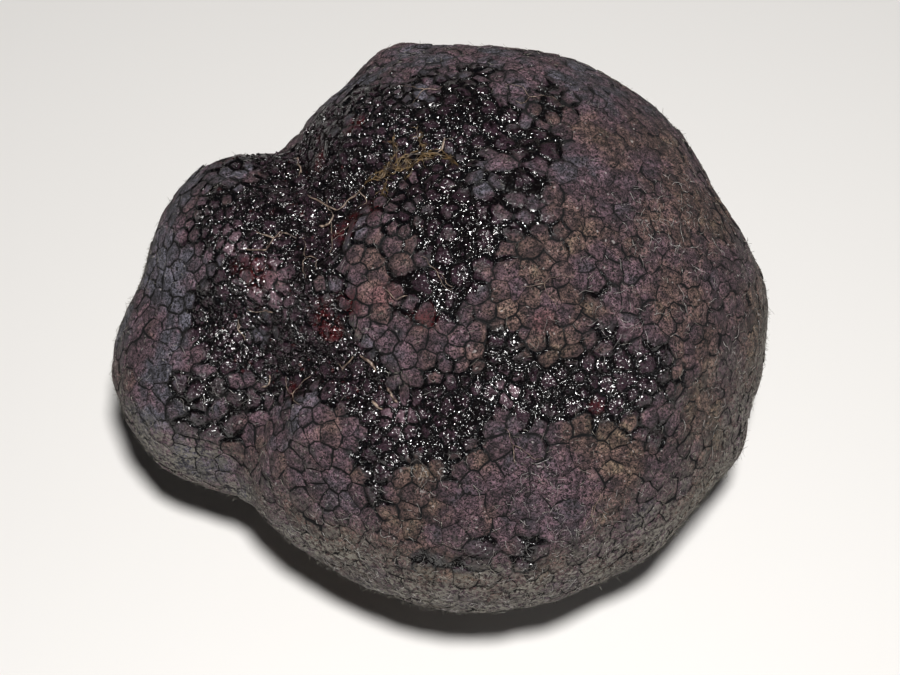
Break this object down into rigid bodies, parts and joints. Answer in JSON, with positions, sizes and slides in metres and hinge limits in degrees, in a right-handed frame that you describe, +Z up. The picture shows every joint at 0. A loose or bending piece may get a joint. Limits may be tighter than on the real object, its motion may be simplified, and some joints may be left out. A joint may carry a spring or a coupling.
{
  "type": "black truffle",
  "caption": "Whole black truffle with a large round lobe, a small lobe beside it and a furrow between, paved with low many-sided warts, lying on a small flat spot.",
  "frame": {"origin": "middle of the box around the truffle, on the surface that it lies on", "axes": "+Z up; +X from the small lobe towards the large one, along the longest extent; +Y towards the crown of the large lobe"},
  "size_m": [0.0548, 0.0488, 0.0364],
  "materials": {
    "skin": "hard dull plum-black warty skin, moist and glossy in the furrow"
  },
  "bodies": {
    "root": {"truffle": "skin"}
  },
  "joints": []
}
